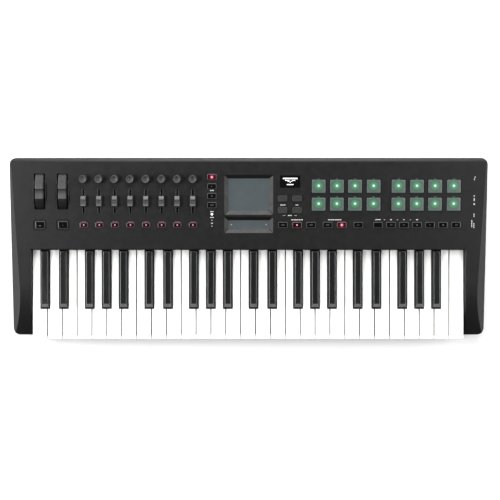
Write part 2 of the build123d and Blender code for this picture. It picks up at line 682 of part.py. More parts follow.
with BuildPart() as fader_bodies:
    with BuildSketch(PANEL.offset(BOARD_TOP)):
        with Locations(*[on_panel(x, FADER_Y) for x in channel_xs]):
            Rectangle(*FADER_BODY)
    extrude(amount=FADER_BODY_TOP - BOARD_TOP)
    with BuildSketch(PANEL.offset(STEM_BOTTOM - 1)):
        with Locations(*[on_panel(x, FADER_Y) for x in channel_xs]):
            Rectangle(FADER_SLOT_W, FADER_SLOT + 2)
    extrude(amount=10, mode=Mode.SUBTRACT)
save(fader_bodies, "fader_bodies")

for i, x in enumerate(channel_xs):
    cap_w, cap_l, cap_h = FADER_CAP
    with BuildPart() as fader:
        with BuildSketch(PANEL.offset(CAP_BOTTOM)):
            with Locations(on_panel(x, FADER_Y)):
                RectangleRounded(cap_w, cap_l, 0.8)
        extrude(amount=cap_h, taper=4)
        # Finger groove across the middle of the cap.
        with BuildSketch(Plane(origin=(x - cap_w, 0, 0), z_dir=(1, 0, 0), x_dir=(0, 1, 0))):
            groove = PANEL.from_local_coords(Vector(0, on_panel(x, FADER_Y)[1], CAP_BOTTOM + cap_h + 3.2))
            with Locations((groove.Y, groove.Z)):
                Circle(5.0)
        extrude(amount=2 * cap_w, mode=Mode.SUBTRACT)
        with BuildSketch(PANEL.offset(STEM_BOTTOM)):
            with Locations(on_panel(x, FADER_Y)):
                Rectangle(*STEM)
        extrude(amount=CAP_BOTTOM + 2 - STEM_BOTTOM)
    save(fader, f"fader_{i + 1}")


# ================================================================ buttons and pads
def cluster(cap, places, proud, margin, radius):
    """Caps that stand through the panel, joined under it by one thin moulded web."""
    xs = [x for x, y in places]
    ys = [y for x, y in places]
    web_w = max(xs) - min(xs) + cap[0] + 2 * margin
    web_l = max(ys) - min(ys) + cap[1] + 2 * margin
    web_mid = ((max(xs) + min(xs)) / 2, (max(ys) + min(ys)) / 2)
    with BuildPart() as body:
        with BuildSketch(PANEL.offset(WEB_TOP - WEB_T)):
            with Locations(on_panel(*web_mid)):
                Rectangle(web_w, web_l)
        extrude(amount=WEB_T)
        with BuildSketch(PANEL.offset(WEB_TOP - 0.5)):
            with Locations(*[on_panel(x, y) for x, y in places]):
                RectangleRounded(*cap, radius)
        extrude(amount=proud - WEB_TOP + 0.5)
    return body


for name, (cap, places) in BUTTONS.items():
    save(cluster(cap, places, BUTTON_PROUD, 1.4, 1.3), name)

for name, xs in PAD_BANKS.items():
    save(cluster(PAD, [(x, y) for x in xs for y in PAD_ROWS_Y], PAD_PROUD, 1.6, 1.1), name)

# ================================================================ boards, display and touch surfaces
with BuildPart() as panel_board:
    with BuildSketch(PANEL.offset(BOARD_TOP - PCB_T)):
        with Locations(on_panel(33.5, 72.7)):
            Rectangle(615, 96)
    extrude(amount=PCB_T)
    # Key switches under the buttons, and sensor carriers under the pads.
    with BuildSketch(PANEL.offset(BOARD_TOP - 0.5)):
        for name, (cap, places) in BUTTONS.items():
            if name != "octave_buttons":
                with Locations(*[on_panel(x, y) for x, y in places]):
                    Rectangle(6, 6)
        for xs in PAD_BANKS.values():
            with Locations(on_panel((xs[0] + xs[-1]) / 2, sum(PAD_ROWS_Y) / 2)):
                Rectangle(xs[-1] - xs[0] + PAD[0], PAD_ROWS_Y[0] - PAD_ROWS_Y[1] + PAD[1])
    extrude(amount=SWITCH_TOP - BOARD_TOP + 0.5)
save(panel_board, "panel_board")

with BuildPart() as main_board:
    with BuildSketch(Plane.XY.offset(SOCKET_BOARD_Z)):
        with Locations((308, 83)):
            Rectangle(116, 82)
        with Locations((355, 33)):
            Rectangle(22, 22)
    extrude(amount=PCB_T)
    with BuildSketch(Plane.XY.offset(SOCKET_BOARD_Z + PCB_T)):
        with Locations((285, 90), (320, 60)):
            Rectangle(16, 16)
    extrude(amount=1.5)
save(main_board, "main_board")

with BuildPart() as display_window:
    with BuildSketch(PANEL.offset(-WALL)):
        with Locations(on_panel(*DISPLAY_AT)):
            RectangleRounded(*DISPLAY, 1.0)
    extrude(amount=WALL)
save(display_window, "display_window")

with BuildPart() as display_module:
    with BuildSketch(PANEL.offset(BOARD_TOP)):
        with Locations(on_panel(*DISPLAY_AT)):
            Rectangle(DISPLAY[0] + 3.5, DISPLAY[1] + 3.5)
    extrude(amount=-WALL - BOARD_TOP)
save(display_module, "display_module")

for name, surface, y in (
    ("touch_pad", TOUCH_PAD, TOUCH_PAD_Y),
    ("touch_strip", TOUCH_STRIP, TOUCH_STRIP_Y),
):
    with BuildPart() as plate:
        with BuildSketch(PANEL.offset(-TOUCH_DEPTH - TOUCH_T)):
            with Locations(on_panel(0, y)):
                RectangleRounded(surface[0] + 4, surface[1] + 4, 1.0)
        extrude(amount=TOUCH_T)
    save(plate, name)

# ================================================================ sockets
SOCKET_Z = SOCKET_BOARD_Z + PCB_T
USB_DEPTH = 17.0
USB_CAVITY = (9.2, 8.2, 13.0)
USB_TONGUE = (5.6, 3.2, 7.5)

with BuildPart() as usb_socket:
    with BuildSketch(Plane.YZ.offset(SOCKET_FACE - 0.2 - USB_DEPTH)):
        with Locations((USB_Y, SOCKET_Z + USB[1] / 2)):
            Rectangle(*USB)
    extrude(amount=USB_DEPTH)
    with BuildSketch(Plane.YZ.offset(SOCKET_FACE - 0.2 - USB_CAVITY[2])):
        with Locations((USB_Y, SOCKET_Z + USB[1] / 2)):
            Rectangle(USB_CAVITY[0], USB_CAVITY[1])
    extrude(amount=USB_CAVITY[2], mode=Mode.SUBTRACT)
    with BuildSketch(Plane.YZ.offset(SOCKET_FACE - 0.2 - USB_CAVITY[2] - 1)):
        with Locations((USB_Y, SOCKET_Z + USB[1] / 2)):
            Rectangle(USB_TONGUE[0], USB_TONGUE[1])
    extrude(amount=USB_TONGUE[2] + 1)
save(usb_socket, "usb_socket")

with BuildPart() as dc_inlet:
    with BuildSketch(Plane.YZ.offset(SOCKET_FACE - 0.2 - 14)):
        with Locations((DC_Y, SOCKET_Z + DC[1] / 2)):
            Rectangle(*DC)
    extrude(amount=14)
    with BuildSketch(Plane.YZ.offset(SOCKET_FACE - 0.2 - DC_BORE_L)):
        with Locations((DC_Y, SOCKET_Z + DC[1] / 2)):
            Circle(DC_BORE_R)
    extrude(amount=DC_BORE_L, mode=Mode.SUBTRACT)
save(dc_inlet, "dc_inlet")

with BuildPart() as pedal_jacks:
    for y in JACK_Y:
        with BuildSketch(Plane.YZ.offset(SOCKET_FACE - 26)):
            with Locations((y, SOCKET_Z + JACK / 2)):
                Rectangle(JACK, JACK)
        extrude(amount=26 - WALL - 0.1)
        with BuildSketch(Plane.YZ.offset(SOCKET_FACE - WALL - 1)):
            with Locations((y, SOCKET_Z + JACK / 2)):
                Circle(JACK_COLLAR_R)
        extrude(amount=WALL + 1)
        with BuildSketch(Plane.YZ.offset(SOCKET_FACE - JACK_BORE_L)):
            with Locations((y, SOCKET_Z + JACK / 2)):
                Circle(JACK_BORE_R)
        extrude(amount=JACK_BORE_L, mode=Mode.SUBTRACT)
save(pedal_jacks, "pedal_jacks")
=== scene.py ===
"""Looks of the MIDI keyboard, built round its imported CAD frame.

Geometry is worked out in millimetres, in the frame's own axes, and becomes metres when a piece is made.
"""
from math import cos, pi, radians, sin

import bpy
from mathutils import Matrix, Vector


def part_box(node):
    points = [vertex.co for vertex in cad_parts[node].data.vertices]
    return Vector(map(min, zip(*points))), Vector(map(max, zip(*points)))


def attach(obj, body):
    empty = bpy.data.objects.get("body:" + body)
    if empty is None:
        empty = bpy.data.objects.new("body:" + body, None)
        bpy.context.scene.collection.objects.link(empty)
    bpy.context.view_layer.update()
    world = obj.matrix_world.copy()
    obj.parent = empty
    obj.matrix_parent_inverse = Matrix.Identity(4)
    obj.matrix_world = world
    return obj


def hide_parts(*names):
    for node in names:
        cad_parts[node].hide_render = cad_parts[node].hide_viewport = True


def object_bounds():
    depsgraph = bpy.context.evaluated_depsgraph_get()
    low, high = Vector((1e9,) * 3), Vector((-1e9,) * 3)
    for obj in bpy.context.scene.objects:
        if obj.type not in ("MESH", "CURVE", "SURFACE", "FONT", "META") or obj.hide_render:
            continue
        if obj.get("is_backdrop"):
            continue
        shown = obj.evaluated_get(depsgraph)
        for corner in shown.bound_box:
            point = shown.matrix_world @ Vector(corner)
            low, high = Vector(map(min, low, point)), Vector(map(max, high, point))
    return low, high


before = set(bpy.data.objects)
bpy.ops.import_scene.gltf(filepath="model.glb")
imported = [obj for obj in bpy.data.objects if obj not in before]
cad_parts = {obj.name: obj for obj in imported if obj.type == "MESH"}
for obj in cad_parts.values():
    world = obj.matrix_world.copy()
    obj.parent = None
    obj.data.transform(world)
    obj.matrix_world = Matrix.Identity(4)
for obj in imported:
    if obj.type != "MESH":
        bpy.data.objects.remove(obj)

cad_low, cad_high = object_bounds()
MM = 0.001

# ------------------------------------------------------------------ the tilted control panel
PANEL_TILT = radians(5.9)
CASE_WALL = 2.5
WHEEL_SLOT = (17.0, 56.0)
WHEEL_WIDTH = 13.0
FADER_SLOT = (2.4, 37.5)
PAD_GAP = 0.6
CAP_GAP = 0.35
CAP_WEB = -2.8  # where button caps meet the web that joins them, from the panel's face
WEB_THICK = 1.5
TOUCH_DEPTH = 4.0
OCTAVE_RECESS = (21.2, 17.2, 1.0)  # width, length, depth


def box_mm(node):
    """Lowest and highest corner of a CAD node, in millimetres."""
    low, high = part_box(node)
    return low / MM, high / MM


# The display window lies flush in the panel, so its rear top edge is a line of the panel's face.
window_high = box_mm("display_window")[1]
FACE_Y = window_high.y - CASE_WALL * sin(PANEL_TILT)
FACE_Z = window_high.z
PANEL = Matrix.Translation((0, FACE_Y, FACE_Z)) @ Matrix.Rotation(PANEL_TILT, 4, "X")
PANEL_INVERSE = PANEL.inverted()


def on_panel(x, y, height=0.0, turn=0.0):
    """Places a piece at plan (x, y) on the panel's face, raised by height and turned about its normal."""
    shift = Matrix.Translation((x, (y - FACE_Y) / cos(PANEL_TILT), height))
    return PANEL @ shift @ Matrix.Rotation(turn, 4, "Z")


def panel_box(node):
    """Lowest and highest corner of a CAD node, in millimetres in the panel's own axes."""
    points = [PANEL_INVERSE @ (v.co / MM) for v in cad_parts[node].data.vertices]
    low = Vector([min(p[i] for p in points) for i in range(3)])
    high = Vector([max(p[i] for p in points) for i in range(3)])
    return low, high


def middle_on_panel(node):
    """Placing matrix on the panel's face above the middle of a CAD node."""
    low, high = panel_box(node)
    return PANEL @ Matrix.Translation(((low.x + high.x) / 2, (low.y + high.y) / 2, 0))


def caps_of(node):
    """Each flat-topped cap of a CAD cluster, left to right and front to rear: (place, width, length, top)."""
    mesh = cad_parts[node].data
    points = [PANEL_INVERSE @ (v.co / MM) for v in mesh.vertices]
    top = max(p.z for p in points)
    islands = []
    for face in mesh.polygons:
        joined = set(face.vertices)
        if min(points[i].z for i in joined) < top - 0.05:
            continue
        for island in [other for other in islands if other & joined]:
            islands.remove(island)
            joined |= island
        islands.append(joined)
    caps = []
    for island in islands:
        xs = [points[i].x for i in island]
        ys = [points[i].y for i in island]
        mid = ((min(xs) + max(xs)) / 2, (min(ys) + max(ys)) / 2)
        place = PANEL @ Matrix.Translation((*mid, 0))
        caps.append((round(mid[0]), mid[1], place, max(xs) - min(xs), max(ys) - min(ys)))
    caps.sort(key=lambda cap: (cap[0], cap[1]))
    return [(place, width, length, top) for _, _, place, width, length in caps]


# ------------------------------------------------------------------ shapes
def rounded(width, length, radius, steps=4):
    """Outline of a rounded rectangle, anticlockwise."""
    radius = max(radius, 0.02)
    points = []
    for quarter, (side_x, side_y) in enumerate(((1, 1), (-1, 1), (-1, -1), (1, -1))):
        for step in range(steps + 1):
            angle = pi / 2 * (quarter + step / steps)
            x = side_x * (width / 2 - radius) + radius * cos(angle)
            y = side_y * (length / 2 - radius) + radius * sin(angle)
            points.append((x, y))
    return points


def disc(radius, steps=20):
    """Outline of a circle."""
    return [(radius * cos(2 * pi * i / steps), radius * sin(2 * pi * i / steps)) for i in range(steps)]


def stack(levels, ring=False):
    """Skin over outlines given as (points, height). A ring joins last to first, else both are capped."""
    count = len(levels[0][0])
    points = [(x, y, z) for outline, z in levels for x, y in outline]
    faces = []
    for a in range(len(levels) if ring else len(levels) - 1):
        b = (a + 1) % len(levels)
        for i in range(count):
            j = (i + 1) % count
            faces.append((a * count + i, a * count + j, b * count + j, b * count + i))
    if not ring:
        faces.append(tuple(reversed(range(count))))
        faces.append(tuple(range((len(levels) - 1) * count, len(levels) * count)))
    return points, faces


def block(width, length, radius, bottom, top, edge, dish=0.0):
    """Rounded block with a soft top edge; a positive dish sinks its top, a negative one domes it."""
    levels = [(rounded(width, length, radius), bottom)]
    for step in range(4):
        angle = pi / 6 * step
        shrink = 2 * edge * (1 - cos(angle))
        outline = rounded(width - shrink, length - shrink, radius - shrink / 3)
        levels.append((outline, top - edge + edge * sin(angle)))
    for share in (0.8, 0.55, 0.3):
        outline = rounded((width - 2 * edge) * share, (length - 2 * edge) * share, radius * share)
        levels.append((outline, top - dish * (1 - share**2)))
    return stack(levels)


def frame_ring(width, length, radius, rim, bottom, top, inner):
    """Raised rounded frame of that outer size, with rim width and a bevel that runs down inside to inner."""
    levels = []
    section = ((0, bottom), (-0.15, top - 0.1), (-0.4, top), (-rim, top - 0.05), (-rim - 0.5, inner))
    for grow, height in section:
        levels.append((rounded(width + 2 * grow, length + 2 * grow, radius + grow), height))
    return stack(levels, ring=True)


def hole_rim(width, length, gap, breadth):
    """Thin flat trim round the hole of a cap of that size."""
    levels = []
    section = ((gap, -0.6), (gap + 0.05, 0.03), (gap + breadth - 0.1, 0.05), (gap + breadth, -0.2))
    for grow, height in section:
        levels.append((rounded(width + 2 * grow, length + 2 * grow, 1.2 + grow), height))
    return stack(levels[::-1], ring=True)


def turned(profile, angles, radius=None):
    """Solid turned about Z from (radius, height) points; radius(r, h, angle) may change it round the turn."""
    points = []
    count = len(angles)
    for r, h in profile:
        for angle in angles:
            here = radius(r, h, angle) if radius else r
            points.append((here * cos(angle), here * sin(angle), h))
    faces = []
    for a in range(len(profile) - 1):
        for i in range(count):
            j = (i + 1) % count
            faces.append((a * count + i, a * count + j, (a + 1) * count + j, (a + 1) * count + i))
    faces.append(tuple(reversed(range(count))))
    faces.append(tuple(range((len(profile) - 1) * count, len(profile) * count)))
    return points, faces


class Piece:
    """Gathers shells, each with its own look, and makes one mesh object of them."""

    def __init__(self, name):
        self.name = name
        self.points = []
        self.faces = []
        self.looks = []
        self.face_looks = []
        self.glow = []

    def add(self, shell, look, place=None, glow_size=None, glow_y=0.0):
        """Adds a shell. With glow_size, plan positions over that size are kept for the glow looks."""
        points, faces = shell
        start = len(self.points)
        if look not in self.looks:
            self.looks.append(look)
        for point in points:
            spot = Vector(point)
            glow = (spot.x / glow_size[0], (spot.y - glow_y) / glow_size[1]) if glow_size else (0.0, 0.0)
            self.glow.append(glow)
            self.points.append((place @ spot if place else spot) * MM)
        for face in faces:
            self.faces.append([start + i for i in face])
            self.face_looks.append(self.looks.index(look))

    def add_faces(self, points, parts, place):
        """Adds one shell whose faces come in parts, each with its own look."""
        start = len(self.points)
        for point in points:
            self.glow.append((0.0, 0.0))
            self.points.append((place @ Vector(point)) * MM)
        for faces, look in parts:
            self.looks.append(look)
            for face in faces:
                self.faces.append([start + i for i in face])
                self.face_looks.append(len(self.looks) - 1)

    def make(self, body, crease=34, replaces=()):
        """Makes the object, gives it its looks and lets it ride on a CAD body."""
        mesh = bpy.data.meshes.new(self.name)
        mesh.from_pydata(self.points, [], self.faces)
        for look in self.looks:
            mesh.materials.append(look)
        mesh.polygons.foreach_set("material_index", self.face_looks)
        mesh.polygons.foreach_set("use_smooth", [True] * len(self.faces))
        mesh.set_sharp_from_angle(angle=radians(crease))
        layer = mesh.uv_layers.new(name="glow")
        for loop in mesh.loops:
            layer.data[loop.index].uv = self.glow[loop.vertex_index]
        mesh.validate()
        made = bpy.data.objects.new(self.name, mesh)
        bpy.context.scene.collection.objects.link(made)
        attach(made, body)
        if replaces:
            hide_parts(*replaces)
        return made


# ------------------------------------------------------------------ looks
def shade(colour, share):
    """The colour made lighter or darker by a share."""
    return tuple(min(1.0, c * share) for c in colour)


def new_look(name):
    """An empty look with its shader: (material, nodes, links, shader)."""
    made = bpy.data.materials.new(name)
    made.use_nodes = True
    nodes = made.node_tree.nodes
    return made, nodes, made.node_tree.links, nodes["Principled BSDF"]


def noise_over(nodes, links, size, stretch=(1, 1, 1), detail=3.0):
    """Noise over the object's own space, its grains about size millimetres across."""
    space = nodes.new("ShaderNodeTexCoord")
    fit = nodes.new("ShaderNodeMapping")
    fit.inputs["Scale"].default_value = stretch
    grain = nodes.new("ShaderNodeTexNoise")
    grain.inputs["Scale"].default_value = 1 / (size * MM)
    grain.inputs["Detail"].default_value = detail
    links.new(space.outputs["Object"], fit.inputs["Vector"])
    links.new(fit.outputs["Vector"], grain.inputs["Vector"])
    return grain.outputs["Fac"]


def spread(nodes, links, source, low, high):
    """Maps the middle of a noise onto the range from low to high."""
    fit = nodes.new("ShaderNodeMapRange")
    fit.inputs["From Min"].default_value = 0.3
    fit.inputs["From Max"].default_value = 0.7
    fit.inputs["To Min"].default_value = low
    fit.inputs["To Max"].default_value = high
    links.new(source, fit.inputs["Value"])
    return fit.outputs["Result"]


def middle_y_of(node):
    """Y of the middle of a CAD node, in metres."""
    low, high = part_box(node)
    return (low[1] + high[1]) / 2


def facing_mask(nodes, links, axis, lean, sign=None):
    """Rises from 0 to 1 as faces turn to look along an axis, either way unless sign picks one."""
    facing = nodes.new("ShaderNodeNewGeometry")
    split = nodes.new("ShaderNodeSeparateXYZ")
    amount = nodes.new("ShaderNodeMath")
    amount.operation = "MULTIPLY" if sign else "ABSOLUTE"
    amount.inputs[1].default_value = sign or 1
    fit = nodes.new("ShaderNodeMapRange")
    fit.inputs["From Min"].default_value, fit.inputs["From Max"].default_value = lean
    links.new(facing.outputs["Normal"], split.inputs["Vector"])
    links.new(split.outputs[axis], amount.inputs[0])
    links.new(amount.outputs["Value"], fit.inputs["Value"])
    return fit.outputs["Result"]


def along_mask(nodes, links, span):
    """Rises from 0 at the first Y of span, in metres, to 1 at the second, and moves with the piece."""
    place = nodes.new("ShaderNodeTexCoord")
    split = nodes.new("ShaderNodeSeparateXYZ")
    fit = nodes.new("ShaderNodeMapRange")
    fit.inputs["From Min"].default_value, fit.inputs["From Max"].default_value = span
    links.new(place.outputs["Object"], split.inputs["Vector"])
    links.new(split.outputs["Y"], fit.inputs["Value"])
    return fit.outputs["Result"]


def joined_mask(nodes, links, operation, first, second):
    """Two masks joined by MULTIPLY or MAXIMUM."""
    join = nodes.new("ShaderNodeMath")
    join.operation = operation
    links.new(first, join.inputs[0])
    links.new(second, join.inputs[1])
    return join.outputs["Value"]


def blend_where(nodes, links, mask, source, other, data_type):
    """Blends a source into a fixed value where the mask is high."""
    mix = nodes.new("ShaderNodeMix")
    mix.data_type = data_type
    links.new(mask, mix.inputs["Factor"])
    sockets = [each for each in mix.inputs if each.enabled and each.name in ("A", "B")]
    links.new(source, sockets[0])
    sockets[1].default_value = other
    return [each for each in mix.outputs if each.enabled][0]


def white_key_gap_shade(nodes, links):
    """Painted shade: the sides and side edges in the gap between two keys are darkened, up to where the case
    ends.
    """
    sides = facing_mask(nodes, links, "X", (0.30, 0.55))
    over_case = along_mask(nodes, links, (-138.5 * MM, -136.5 * MM))
    return [(joined_mask(nodes, links, "MULTIPLY", sides, over_case), (0.03, 0.029, 0.027), 0.7)]


def thumb_rest_notch_shade(nodes, links):
    """Painted shade on the thumb rest: darkest at the notch, and plain again where the thumb rest has risen
    to the rim.
    """
    middle = middle_y_of("pitch_wheel")
    return [(along_mask(nodes, links, (middle - 8.6 * MM, middle + 0.9 * MM)), (0.001, 0.001, 0.001), 0.6)]


def black_key_painted_light(nodes, links):
    """Painted light: the front slope is paler, a painted reflection, and the sides and the foot of the slope
    are darker, painted shade.
    """
    slope = facing_mask(nodes, links, "Y", (0.35, 0.6), sign=-1)
    sides = facing_mask(nodes, links, "X", (0.80, 0.95))
    foot = along_mask(nodes, links, (-91.4 * MM, -92.2 * MM))
    return [(slope, (0.085, 0.086, 0.086), 0.3),
            (joined_mask(nodes, links, "MAXIMUM", sides, foot), (0.001, 0.001, 0.001), 0.9)]


def plain_look(name, colour, roughness, mottle=0.06, mottle_size=24, wear=0.05, grain=0.0, grain_size=0.5,
               stretch=(1, 1, 1), metal=0.0, specular=0.5, sheen=0.0, patches=None):
    """A moulded or painted finish: faint mottle, uneven polish, fine grain, and patches of painted light or
    shade.
    """
    made, nodes, links, shader = new_look(name)
    shader.inputs["Metallic"].default_value = metal
    shader.inputs["Specular IOR Level"].default_value = specular
    shader.inputs["Sheen Weight"].default_value = sheen
    mottling = noise_over(nodes, links, mottle_size)
    mix = nodes.new("ShaderNodeMix")
    mix.data_type = "RGBA"
    mix.inputs["A"].default_value = (*shade(colour, 1 - mottle), 1)
    mix.inputs["B"].default_value = (*shade(colour, 1 + mottle), 1)
    links.new(spread(nodes, links, mottling, 0, 1), mix.inputs["Factor"])
    tint = [each for each in mix.outputs if each.enabled][0]
    polish = noise_over(nodes, links, mottle_size / 3, stretch)
    gloss = spread(nodes, links, polish, roughness - wear, roughness + wear)
    for mask, patch_colour, patch_roughness in patches(nodes, links) if patches else ():
        tint = blend_where(nodes, links, mask, tint, (*patch_colour, 1), "RGBA")
        gloss = blend_where(nodes, links, mask, gloss, patch_roughness, "FLOAT")
    links.new(tint, shader.inputs["Base Color"])
    links.new(gloss, shader.inputs["Roughness"])
    if grain:
        bump = nodes.new("ShaderNodeBump")
        bump.inputs["Strength"].default_value = grain
        bump.inputs["Distance"].default_value = 0.1 * MM
        links.new(noise_over(nodes, links, grain_size, stretch), bump.inputs["Height"])
        links.new(bump.outputs["Normal"], shader.inputs["Normal"])
    return made


def glow_look(name, base_stops, light_stops, strength, roughness, grain=0.1):
    """A lit finish: base colour and light change with distance from the middle of each cap."""
    made, nodes, links, shader = new_look(name)
    spot = nodes.new("ShaderNodeUVMap")
    spot.uv_map = "glow"
    reach = nodes.new("ShaderNodeVectorMath")
    reach.operation = "LENGTH"
    links.new(spot.outputs["UV"], reach.inputs[0])
    for stops, socket in ((base_stops, "Base Color"), (light_stops, "Emission Color")):
        ramp = nodes.new("ShaderNodeValToRGB")
        ramp.color_ramp.interpolation = "EASE"
        while len(ramp.color_ramp.elements) < len(stops):
            ramp.color_ramp.elements.new(0.5)
        for element, (at, colour) in zip(ramp.color_ramp.elements, stops):
            element.position = at
            element.color = (*colour, 1)
        links.new(reach.outputs["Value"], ramp.inputs["Fac"])
        links.new(ramp.outputs["Color"], shader.inputs[socket])
    shader.inputs["Emission Strength"].default_value = strength
    shader.inputs["Roughness"].default_value = roughness
    bump = nodes.new("ShaderNodeBump")
    bump.inputs["Strength"].default_value = grain
    bump.inputs["Distance"].default_value = 0.1 * MM
    links.new(noise_over(nodes, links, 0.4), bump.inputs["Height"])
    links.new(bump.outputs["Normal"], shader.inputs["Normal"])
    return made


def lamp_look(name, colour, strength):
    """A small part that shines evenly."""
    made, nodes, links, shader = new_look(name)
    shader.inputs["Base Color"].default_value = (*shade(colour, 0.6), 1)
    shader.inputs["Roughness"].default_value = 0.35
    shader.inputs["Emission Color"].default_value = (*colour, 1)
    shader.inputs["Emission Strength"].default_value = strength
    return made


case_grey = plain_look("case_grey_moulding", (0.0054, 0.0058, 0.0054), 0.39, mottle=0.10, wear=0.05,
                       grain=0.2, grain_size=0.45, specular=0.17)
case_black = plain_look("case_black_moulding", (0.006, 0.0062, 0.006), 0.55, grain=0.3, grain_size=0.6,
                        specular=0.25)
# The white keys carry painted shade on their sides and side edges, in the gaps between keys.
key_white = plain_look("key_white_gloss", (0.72, 0.72, 0.705), 0.26, mottle=0.012, wear=0.05, grain=0.03,
                       grain_size=0.5, stretch=(1, 0.08, 1), patches=white_key_gap_shade)
# The black keys carry a painted reflection on the front slope and painted shade on their sides and at the
# foot of the slope.
key_black = plain_look("key_black_satin", (0.0058, 0.006, 0.0062), 0.19, mottle=0.15, wear=0.04, grain=0.06,
                       grain_size=0.4, stretch=(1, 0.15, 1), specular=0.42, patches=black_key_painted_light)
wheel_grey = plain_look("wheel_rubber", (0.028, 0.0285, 0.028), 0.45, grain=0.35, grain_size=0.4,
                        specular=0.25)
# Darker copy of the wheel rubber for the wheel's front beyond the thumb rest: painted shade. Its stretched
# grain gives real fine streaks.
wheel_front_shaded = plain_look("wheel_front_streaked_painted_shade", (0.008, 0.0082, 0.008), 0.5, grain=0.4, grain_size=0.3,
                          stretch=(1, 0.1, 1), specular=0.12)
# The thumb rest carries painted shade in front of its notch.
wheel_thumb = plain_look("wheel_thumb_rest", (0.029, 0.0295, 0.029), 0.45, grain=0.35, grain_size=0.4,
                         specular=0.2, patches=thumb_rest_notch_shade)
# Lighter top edge of the walls beside the wheels: a painted highlight.
wall_edge_highlight = plain_look("wheel_wall_painted_highlight", (0.042, 0.043, 0.042), 0.3, grain=0.1, specular=0.4)
knob_grey = plain_look("knob_soft_touch", (0.019, 0.0195, 0.019), 0.42, grain=0.25, grain_size=0.35,
                       specular=0.3)
fader_grey = plain_look("fader_cap_plastic", (0.030, 0.0305, 0.0315), 0.36, grain=0.2, grain_size=0.35,
                        specular=0.3)
slot_bevel = plain_look("slot_bevel", (0.012, 0.0125, 0.012), 0.28, grain=0.08, specular=0.3)
slot_dark = plain_look("slot_dust_shield", (0.002, 0.002, 0.002), 0.7, grain=0.2, specular=0.05)
part_black = plain_look("black_plastic", (0.003, 0.003, 0.003), 0.5, grain=0.2, specular=0.15)
window_gloss = plain_look("black_window", (0.002, 0.002, 0.0022), 0.12, mottle=0.2, wear=0.03, specular=0.25)
touch_surface = plain_look("touch_film", (0.032, 0.040, 0.043), 0.40, mottle=0.04, wear=0.04, grain=0.15,
                           grain_size=0.5, specular=0.3)
button_rim = plain_look("button_rim_smoke", (0.027, 0.028, 0.028), 0.5, grain=0.1, specular=0.25)
button_plain = plain_look("button_plain_grey", (0.0135, 0.014, 0.0135), 0.45, grain=0.2, specular=0.25)
legend_white = plain_look("printed_legend", (0.33, 0.33, 0.32), 0.55, mottle=0.05, grain=0.1)
legend_dim = plain_look("dim_icon", (0.045, 0.048, 0.048), 0.4, mottle=0.1)
icon_dark = plain_look("dark_icon", (0.003, 0.003, 0.003), 0.5, mottle=0.1, specular=0.1)
steel = plain_look("screw_steel", (0.42, 0.42, 0.43), 0.32, metal=1.0, grain=0.2, stretch=(1, 0.2, 1))
brass = plain_look("plated_contact", (0.62, 0.55, 0.42), 0.28, metal=1.0, mottle=0.1)
rubber = plain_look("foot_rubber_black", (0.010, 0.010, 0.010), 0.8, grain=0.6, grain_size=0.8)
frame_black = plain_look("frame_plastic_grey", (0.02, 0.02, 0.021), 0.6, grain=0.3)
felt = plain_look("red_felt", (0.12, 0.015, 0.015), 0.95, grain=1.0, grain_size=0.6, sheen=0.5)
circuit = plain_look("circuit_green", (0.01, 0.05, 0.022), 0.35, mottle=0.2, mottle_size=4)
contact = plain_look("contact_rubber_grey", (0.12, 0.12, 0.115), 0.7, grain=0.4)
label_paper = plain_look("label_silver", (0.22, 0.22, 0.225), 0.4, mottle=0.04, grain=0.1)

DARK_RED = (0.012, 0.0006, 0.002)
pad_lit = glow_look(
    "pad_silicone_lit",
    ((0.0, (0.014, 0.045, 0.025)), (0.55, (0.017, 0.038, 0.027)),
     (1.0, (0.034, 0.043, 0.043)), (1.0, (0.037, 0.045, 0.046))),
    ((0.0, (0.75, 1.0, 0.85)), (0.13, (0.62, 1.0, 0.78)),
     (0.25, (0.028, 0.19, 0.07)), (0.85, (0.0, 0.018, 0.005))),
    1.0, 0.42)
rim_lit = glow_look(
    "button_rim_red_lit",
    ((0.0, (0.06, 0.02, 0.025)), (0.6, (0.030, 0.016, 0.018)),
     (1.0, (0.020, 0.016, 0.017)), (1.0, (0.020, 0.016, 0.017))),
    ((0.0, (0.30, 0.07, 0.10)), (0.5, (0.16, 0.04, 0.06)),
     (0.9, (0.075, 0.014, 0.024)), (1.0, (0.05, 0.010, 0.017))),
    1.0, 0.35)
window_lit = glow_look(
    "button_window_red_lit",
    ((0.0, (0.05, 0.01, 0.015)), (0.4, DARK_RED), (0.8, (0.006, 0.001, 0.002)), (1.0, (0.006, 0.001, 0.002))),
    ((0.0, (1.0, 0.85, 0.88)), (0.22, (0.95, 0.62, 0.68)),
     (0.40, (0.02, 0.001, 0.004)), (1.0, (0.002, 0.0, 0.0))),
    1.0, 0.15)
window_bright = glow_look(
    "button_window_bright_lit",
    ((0.0, (0.05, 0.01, 0.015)), (0.4, DARK_RED), (0.8, (0.006, 0.001, 0.002)), (1.0, (0.006, 0.001, 0.002))),
    ((0.0, (1.0, 0.78, 0.82)), (0.30, (0.95, 0.45, 0.52)),
     (0.62, (0.35, 0.03, 0.07)), (1.0, (0.04, 0.0, 0.005))),
    1.0, 0.15)
led_white = lamp_look("led_white", (1.0, 0.93, 0.95), 1.6)
led_off = plain_look("led_unlit", (0.16, 0.16, 0.16), 0.3, mottle=0.1)
screen_light = lamp_look("screen_light", (0.95, 0.98, 1.0), 0.8)
green_leak = lamp_look("green_light_guide", (0.03, 0.13, 0.06), 0.5)
red_leak = lamp_look("red_light_guide", (0.12, 0.045, 0.055), 0.7)

